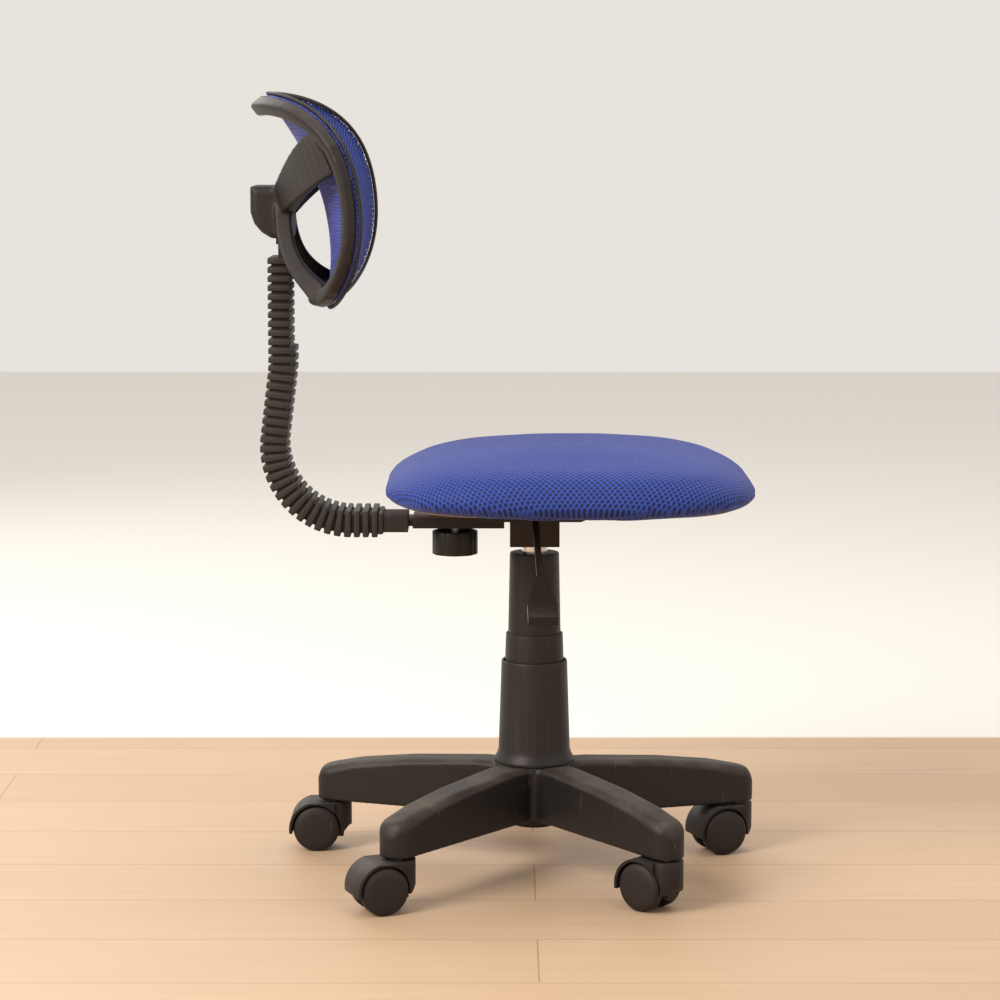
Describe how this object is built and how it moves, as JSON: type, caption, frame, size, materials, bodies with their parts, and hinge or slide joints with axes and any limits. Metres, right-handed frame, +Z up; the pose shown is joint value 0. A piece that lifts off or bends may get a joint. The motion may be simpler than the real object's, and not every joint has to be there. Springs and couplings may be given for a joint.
{
  "type": "swivel task chair",
  "caption": "Small armless swivel task chair with padded mesh seat, mesh back on a bent spine bar, gas lift and star base on twin-wheel casters.",
  "frame": {"origin": "the column's axis at the floor", "axes": "+Z up along the column, +X towards the seat's front edge, +Y to the sitter's left"},
  "size_m": [0.5334, 0.475, 0.822],
  "materials": {
    "base_plastic": "moulded black nylon, fine grain, satin",
    "caster_plastic": "moulded black nylon, fine grain",
    "wheel_plastic": "moulded black nylon, lightly scuffed",
    "zinc_steel": "zinc plated",
    "cover_plastic": "blown black polypropylene, fine grain",
    "black_steel": "black powder coat",
    "chromed_steel": "ground and chromed",
    "pale_bush": "natural acetal",
    "brass_piston": "turned",
    "seal_rubber": "moulded nitrile",
    "plywood": "raw plywood",
    "foam": "cut polyurethane foam",
    "seat_fabric": "knitted spacer mesh, blue",
    "back_fabric": "open knitted mesh, blue",
    "rib_plastic": "soft black vinyl",
    "trim_plastic": "moulded black plastic, satin",
    "frame_plastic": "moulded black polypropylene, fine grain"
  },
  "bodies": {
    "base": {"star_base": "base_plastic", "outer_tube": "black_steel", "guide_bush": "pale_bush", "thrust_bearing": "zinc_steel", "lower_cover": "cover_plastic", "caster_stem_1": "zinc_steel", "caster_stem_2": "zinc_steel", "caster_stem_3": "zinc_steel", "caster_stem_4": "zinc_steel", "caster_stem_5": "zinc_steel"},
    "caster_1": {"caster_hood_1": "caster_plastic", "caster_axle_1": "zinc_steel"},
    "roller_1a": {"wheel_1a": "wheel_plastic"},
    "roller_1b": {"wheel_1b": "wheel_plastic"},
    "caster_2": {"caster_hood_2": "caster_plastic", "caster_axle_2": "zinc_steel"},
    "roller_2a": {"wheel_2a": "wheel_plastic"},
    "roller_2b": {"wheel_2b": "wheel_plastic"},
    "caster_3": {"caster_hood_3": "caster_plastic", "caster_axle_3": "zinc_steel"},
    "roller_3a": {"wheel_3a": "wheel_plastic"},
    "roller_3b": {"wheel_3b": "wheel_plastic"},
    "caster_4": {"caster_hood_4": "caster_plastic", "caster_axle_4": "zinc_steel"},
    "roller_4a": {"wheel_4a": "wheel_plastic"},
    "roller_4b": {"wheel_4b": "wheel_plastic"},
    "caster_5": {"caster_hood_5": "caster_plastic", "caster_axle_5": "zinc_steel"},
    "roller_5a": {"wheel_5a": "wheel_plastic"},
    "roller_5b": {"wheel_5b": "wheel_plastic"},
    "rod": {"piston_rod": "chromed_steel", "piston": "brass_piston", "retaining_clip": "zinc_steel"},
    "middle": {"middle_cover": "cover_plastic"},
    "seat": {"pressure_tube": "chromed_steel", "rod_gland": "seal_rubber", "upper_cover": "cover_plastic", "seat_plate": "black_steel", "lever_pin": "zinc_steel", "seat_board": "plywood", "seat_bolts": "zinc_steel", "tee_nuts": "zinc_steel", "seat_cushion": "foam", "seat_cover": "seat_fabric"},
    "pin": {"release_pin": "chromed_steel"},
    "lever": {"lever_rod": "black_steel", "lever_grip": "trim_plastic"},
    "knob": {"depth_knob": "trim_plastic", "knob_screw": "zinc_steel"},
    "spine": {"spine_bar": "black_steel", "spine_cover": "rib_plastic", "bar_collar": "trim_plastic", "bar_bush": "trim_plastic"},
    "back": {"back_frame": "frame_plastic", "back_mesh": "back_fabric", "clip_ring": "frame_plastic", "lock_screw": "zinc_steel"}
  },
  "joints": [
    {"name": "caster_1_swivel", "type": "hinge", "parent": "base", "child": "caster_1", "pos_m": [-0.21694, 0.0764, 0.056], "axis": [0, 0, 1], "continuous": true},
    {"name": "wheel_1a_spin", "type": "hinge", "parent": "caster_1", "child": "roller_1a", "pos_m": [-0.23694, 0.0764, 0.025], "axis": [0, -1, 0], "continuous": true},
    {"name": "wheel_1b_spin", "type": "hinge", "parent": "caster_1", "child": "roller_1b", "pos_m": [-0.23694, 0.0764, 0.025], "axis": [0, -1, 0], "continuous": true},
    {"name": "caster_2_swivel", "type": "hinge", "parent": "base", "child": "caster_2", "pos_m": [-0.1397, -0.18271, 0.056], "axis": [0, 0, 1], "continuous": true},
    {"name": "wheel_2a_spin", "type": "hinge", "parent": "caster_2", "child": "roller_2a", "pos_m": [-0.15824, -0.19021, 0.025], "axis": [0.3746, -0.9272, 0], "continuous": true},
    {"name": "wheel_2b_spin", "type": "hinge", "parent": "caster_2", "child": "roller_2b", "pos_m": [-0.15824, -0.19021, 0.025], "axis": [0.3746, -0.9272, 0], "continuous": true},
    {"name": "caster_3_swivel", "type": "hinge", "parent": "base", "child": "caster_3", "pos_m": [0.1306, -0.18932, 0.056], "axis": [0, 0, 1], "continuous": true},
    {"name": "wheel_3a_spin", "type": "hinge", "parent": "caster_3", "child": "roller_3a", "pos_m": [0.11574, -0.17594, 0.025], "axis": [-0.6691, -0.7431, 0], "continuous": true},
    {"name": "wheel_3b_spin", "type": "hinge", "parent": "caster_3", "child": "roller_3b", "pos_m": [0.11574, -0.17594, 0.025], "axis": [-0.6691, -0.7431, 0], "continuous": true},
    {"name": "caster_4_swivel", "type": "hinge", "parent": "base", "child": "caster_4", "pos_m": [0.22041, 0.06571, 0.056], "axis": [0, 0, 1], "continuous": true},
    {"name": "wheel_4a_spin", "type": "hinge", "parent": "caster_4", "child": "roller_4a", "pos_m": [0.20174, 0.05854, 0.025], "axis": [0.3584, -0.9336, 0], "continuous": true},
    {"name": "wheel_4b_spin", "type": "hinge", "parent": "caster_4", "child": "roller_4b", "pos_m": [0.20174, 0.05854, 0.025], "axis": [0.3584, -0.9336, 0], "continuous": true},
    {"name": "caster_5_swivel", "type": "hinge", "parent": "base", "child": "caster_5", "pos_m": [0.00562, 0.22993, 0.056], "axis": [0, 0, 1], "continuous": true},
    {"name": "wheel_5a_spin", "type": "hinge", "parent": "caster_5", "child": "roller_5a", "pos_m": [-0.01438, 0.22993, 0.025], "axis": [0, -1, 0], "continuous": true},
    {"name": "wheel_5b_spin", "type": "hinge", "parent": "caster_5", "child": "roller_5b", "pos_m": [-0.01438, 0.22993, 0.025], "axis": [0, -1, 0], "continuous": true},
    {"name": "seat_swivel", "type": "hinge", "parent": "base", "child": "rod", "pos_m": [0, 0, 0.06], "axis": [0, 0, 1], "continuous": true},
    {"name": "seat_height", "type": "slide", "parent": "rod", "child": "seat", "axis": [0, 0, 1], "range_m": [-0.045, 0.055]},
    {"name": "cover_follow", "type": "slide", "parent": "base", "child": "middle", "axis": [0, 0, 1], "range_m": [-0.0225, 0.0275]},
    {"name": "pin_press", "type": "slide", "parent": "seat", "child": "pin", "axis": [0, 0, -1], "range_m": [0, 0.0032], "stiffness_N_per_m": 3000},
    {"name": "lever_lift", "type": "hinge", "parent": "seat", "child": "lever", "pos_m": [0, -0.036, 0.3844], "axis": [-1, 0, 0], "range_deg": [0, 5], "stiffness_Nm_per_rad": 6, "springref_deg": -6.88},
    {"name": "knob_turn", "type": "hinge", "parent": "seat", "child": "knob", "pos_m": [-0.084, 0, 0.345], "axis": [0, 0, 1], "range_deg": [0, 720]},
    {"name": "spine_slide", "type": "slide", "parent": "seat", "child": "spine", "axis": [1, 0, 0], "range_m": [-0.034, 0.0018]},
    {"name": "back_height", "type": "slide", "parent": "spine", "child": "back", "axis": [0, 0, 1], "range_m": [-0.018, 0.03]}
  ],
  "couplings": [
    {"joint": "cover_follow", "follows": "seat_height", "ratio": 0.5},
    {"joint": "pin_press", "follows": "lever_lift", "m_per_rad": 0.036}
  ]
}
